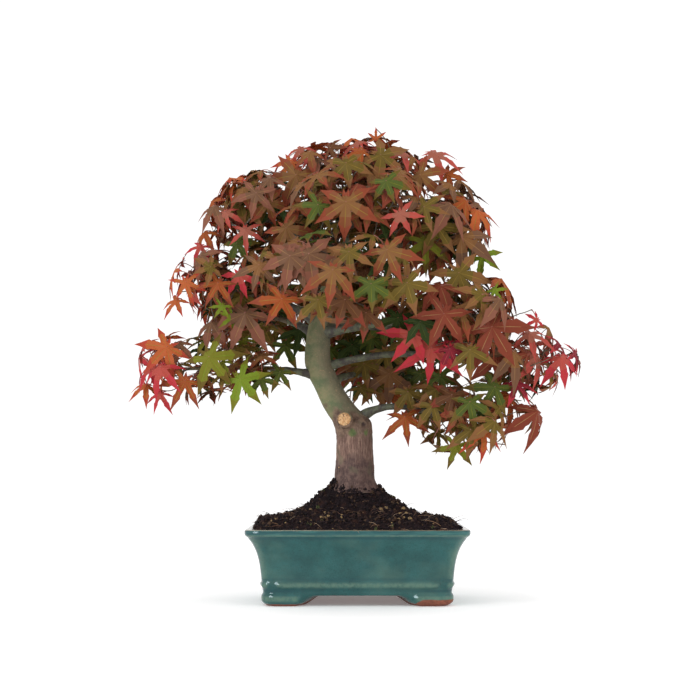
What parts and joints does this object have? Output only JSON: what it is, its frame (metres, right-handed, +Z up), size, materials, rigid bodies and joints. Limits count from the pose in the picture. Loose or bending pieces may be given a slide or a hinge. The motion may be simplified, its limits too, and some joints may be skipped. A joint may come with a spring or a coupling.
{
  "type": "potted japanese maple bonsai",
  "caption": "Japanese maple grown as a bonsai, with a curved trunk and a dome of star-shaped autumn leaves, in a teal glazed rectangular pot on corner feet.",
  "frame": {"origin": "on the ground, under the middle of the plant's outline; the pot's feet stand on z = 0", "axes": "+Z up, +X to the right along the pot's long side seen from the front, -Y towards the front"},
  "size_m": [0.527, 0.385, 0.5355],
  "materials": {
    "glaze": "gloss",
    "soil": "matte",
    "bark": "matte",
    "foliage": "satin"
  },
  "bodies": {
    "root": {"pot": "glaze", "soil": "soil", "trunk": "bark", "bough_left_upper": "bark", "bough_right_upper": "bark", "bough_front_upper": "bark", "bough_rear_upper": "bark", "bough_front_middle": "bark", "bough_left_middle": "bark", "bough_rear_middle": "bark", "bough_rear_left": "bark", "bough_rear_right": "bark", "bough_front_right": "bark", "bough_far_right": "bark", "bough_rear_low": "bark", "bough_low_right": "bark", "bough_low_left": "bark", "foliage_crown_top": "foliage", "foliage_left_upper": "foliage", "foliage_right_upper": "foliage", "foliage_front_upper": "foliage", "foliage_rear_upper": "foliage", "foliage_front_middle": "foliage", "foliage_left_middle": "foliage", "foliage_rear_middle": "foliage", "foliage_rear_left": "foliage", "foliage_rear_right": "foliage", "foliage_front_right": "foliage", "foliage_far_right": "foliage", "foliage_rear_low": "foliage", "foliage_low_right": "foliage", "foliage_low_left": "foliage"}
  },
  "joints": []
}
